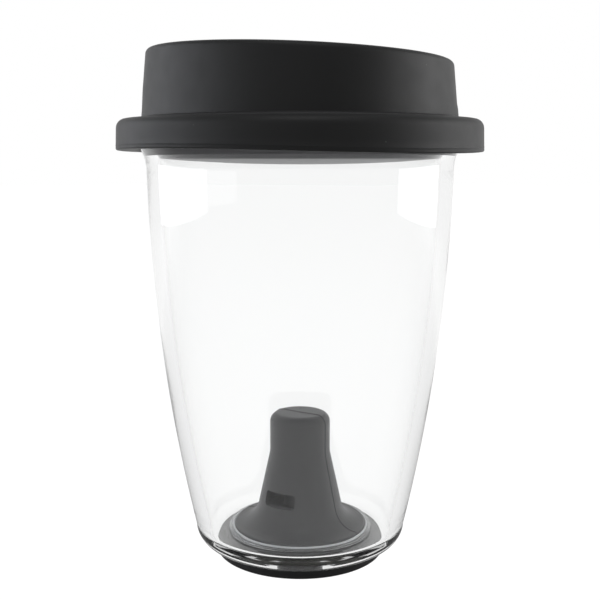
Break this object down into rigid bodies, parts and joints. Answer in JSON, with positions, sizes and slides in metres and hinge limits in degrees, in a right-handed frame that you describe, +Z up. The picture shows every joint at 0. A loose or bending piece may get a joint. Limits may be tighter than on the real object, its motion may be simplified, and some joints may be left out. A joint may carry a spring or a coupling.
{
  "type": "lidded glass tumbler",
  "caption": "Tapered clear glass tumbler with a stepped, slant-topped silicone lid, a slotted silicone cone on its floor over a hollow stem, and a black foot ring.",
  "frame": {"origin": "middle of the foot's underside, on the vessel's axis, at the height of the surface it stands on", "axes": "+Z up along the vessel's axis, -Y towards the front, -X towards the high side of the lid and its mouth opening"},
  "size_m": [0.098, 0.098, 0.138],
  "materials": {
    "lid_silicone": "matte moulded silicone, charcoal",
    "insert_silicone": "satin moulded silicone, grey",
    "clear_glass": "clear, fire polished",
    "cone_silicone": "matte moulded silicone, dark grey, with a parting line",
    "stem_plastic": "moulded nylon, dark grey",
    "o_ring_rubber": "satin",
    "gasket_silicone": "clear silicone",
    "washer_fibre": "matte",
    "nut_plastic": "moulded nylon, dark grey",
    "foot_silicone": "matte moulded silicone, black"
  },
  "bodies": {
    "foot": {"base_foot": "foot_silicone"},
    "cup": {"glass_cup": "clear_glass", "stem_tube": "stem_plastic", "cone_o_ring": "o_ring_rubber", "floor_gasket": "gasket_silicone", "under_washer": "washer_fibre", "lock_nut": "nut_plastic"},
    "cone": {"diffuser_cone": "cone_silicone"},
    "lid": {"lid_shell": "lid_silicone", "lid_insert": "insert_silicone"}
  },
  "joints": [
    {"name": "cup_lift", "type": "slide", "parent": "foot", "child": "cup", "axis": [0, 0, 1], "range_m": [0, 0.03]},
    {"name": "cone_pull", "type": "slide", "parent": "cup", "child": "cone", "axis": [0, 0, 1], "range_m": [0, 0.05]},
    {"name": "lid_lift", "type": "slide", "parent": "cup", "child": "lid", "axis": [0, 0, 1], "range_m": [0, 0.06]}
  ]
}
